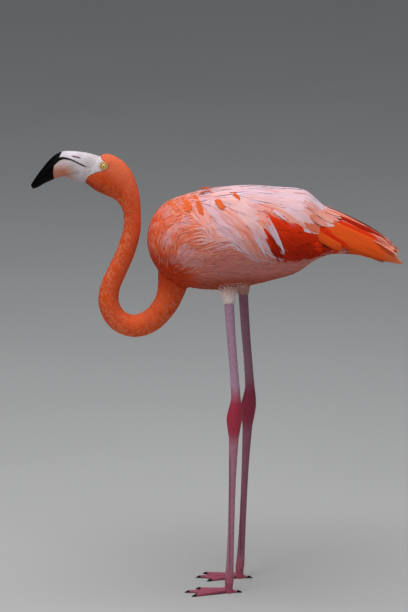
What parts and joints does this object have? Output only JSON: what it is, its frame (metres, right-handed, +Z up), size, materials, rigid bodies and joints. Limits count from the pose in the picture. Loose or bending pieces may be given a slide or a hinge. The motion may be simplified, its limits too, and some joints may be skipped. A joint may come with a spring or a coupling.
{
  "type": "american flamingo",
  "caption": "Standing American flamingo, still life-size model: long legs, looped neck, raised head and bent bill.",
  "frame": {"origin": "on the floor, at the middle of the bird's length and width", "axes": "+Z up, the bill points to -X, the bird's left side is at -Y"},
  "size_m": [0.6668, 0.188, 0.803],
  "materials": {
    "head_and_neck_feathers": "matte",
    "body_feathers": "matte",
    "wing_feathers": "matte",
    "leg_skin": "satin",
    "bill": "satin",
    "claw": "satin",
    "eye": "gloss"
  },
  "bodies": {
    "root": {"head": "head_and_neck_feathers", "neck_1": "head_and_neck_feathers", "neck_2": "head_and_neck_feathers", "neck_3": "head_and_neck_feathers", "neck_4": "head_and_neck_feathers", "neck_5": "head_and_neck_feathers", "neck_base": "head_and_neck_feathers", "trunk": "body_feathers", "thigh_left": "body_feathers", "thigh_right": "body_feathers", "wing_left": "wing_feathers", "wing_right": "wing_feathers", "tail": "wing_feathers", "shank_left": "leg_skin", "shank_right": "leg_skin", "hock_left": "leg_skin", "hock_right": "leg_skin", "tarsus_left": "leg_skin", "tarsus_right": "leg_skin", "foot_left": "leg_skin", "foot_right": "leg_skin", "bill_upper": "bill", "bill_lower": "bill", "eye_left": "eye", "eye_right": "eye", "claw_outer_left": "claw", "claw_middle_left": "claw", "claw_inner_left": "claw", "claw_hind_left": "claw", "claw_outer_right": "claw", "claw_middle_right": "claw", "claw_inner_right": "claw", "claw_hind_right": "claw"}
  },
  "joints": []
}
